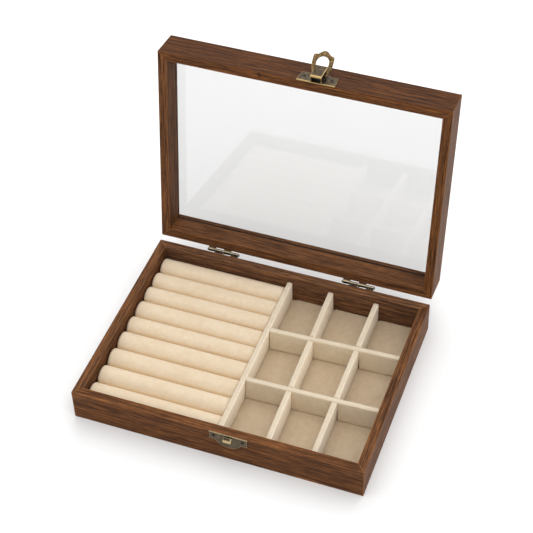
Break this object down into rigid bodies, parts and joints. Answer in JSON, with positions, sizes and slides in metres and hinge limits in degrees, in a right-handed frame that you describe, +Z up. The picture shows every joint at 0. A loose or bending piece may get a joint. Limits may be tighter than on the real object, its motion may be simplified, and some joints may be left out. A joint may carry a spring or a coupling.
{
  "type": "ring display box",
  "caption": "Shallow hinged display box with a glazed lid, velvet ring rolls on one side, a grid of lined compartments on the other and a swinging hasp closure on the front.",
  "frame": {"origin": "centre of the base's underside", "axes": "+X to the right along the front, +Y from the front to the hinges, +Z up; the rest pose has the lid open on its stops"},
  "size_m": [0.24, 0.2395, 0.2253],
  "materials": {
    "walnut_foil": "printed walnut foil, satin",
    "bottom_board": "plain dark board",
    "roll_velvet": "cream velvet over foam",
    "divider_velvet": "beige velvet over card",
    "floor_velvet": "beige velvet, glued down",
    "glass": "clear, flat",
    "hinge_metal": "blackened bronze, rubbed at the edges",
    "bronze": "antique bronze with dark patina"
  },
  "bodies": {
    "base": {"base_front_rail": "walnut_foil", "base_back_rail": "walnut_foil", "base_left_rail": "walnut_foil", "base_right_rail": "walnut_foil", "base_bottom_panel": "bottom_board", "floor_lining": "floor_velvet", "ring_roll_1": "roll_velvet", "ring_roll_2": "roll_velvet", "ring_roll_3": "roll_velvet", "ring_roll_4": "roll_velvet", "ring_roll_5": "roll_velvet", "ring_roll_6": "roll_velvet", "ring_roll_7": "roll_velvet", "ring_roll_8": "roll_velvet", "ring_roll_9": "roll_velvet", "divider_long_left": "divider_velvet", "divider_long_middle": "divider_velvet", "divider_long_right": "divider_velvet", "divider_cross_rear": "divider_velvet", "divider_cross_front": "divider_velvet", "hinge_left_base_leaf": "hinge_metal", "hinge_left_pin": "hinge_metal", "hinge_right_base_leaf": "hinge_metal", "hinge_right_pin": "hinge_metal", "hinge_base_nails": "hinge_metal", "catch_plate": "bronze", "catch_plate_nails": "bronze"},
    "lid": {"lid_front_rail": "walnut_foil", "lid_back_rail": "walnut_foil", "lid_left_rail": "walnut_foil", "lid_right_rail": "walnut_foil", "lid_glass": "glass", "hinge_left_lid_leaf": "hinge_metal", "hinge_right_lid_leaf": "hinge_metal", "hinge_lid_nails": "hinge_metal", "hasp_plate": "bronze", "hasp_plate_nails": "bronze"},
    "hasp_loop": {"hasp_loop": "bronze"}
  },
  "joints": [
    {"name": "lid_hinge", "type": "hinge", "parent": "base", "child": "lid", "pos_m": [0, 0.0934, 0.029], "axis": [1, 0, 0], "range_deg": [0, 97.5]},
    {"name": "hasp_swing", "type": "hinge", "parent": "lid", "child": "hasp_loop", "pos_m": [0.0115, 0.12673, 0.21323], "axis": [1, 0, 0], "range_deg": [-49, 139.5]}
  ]
}
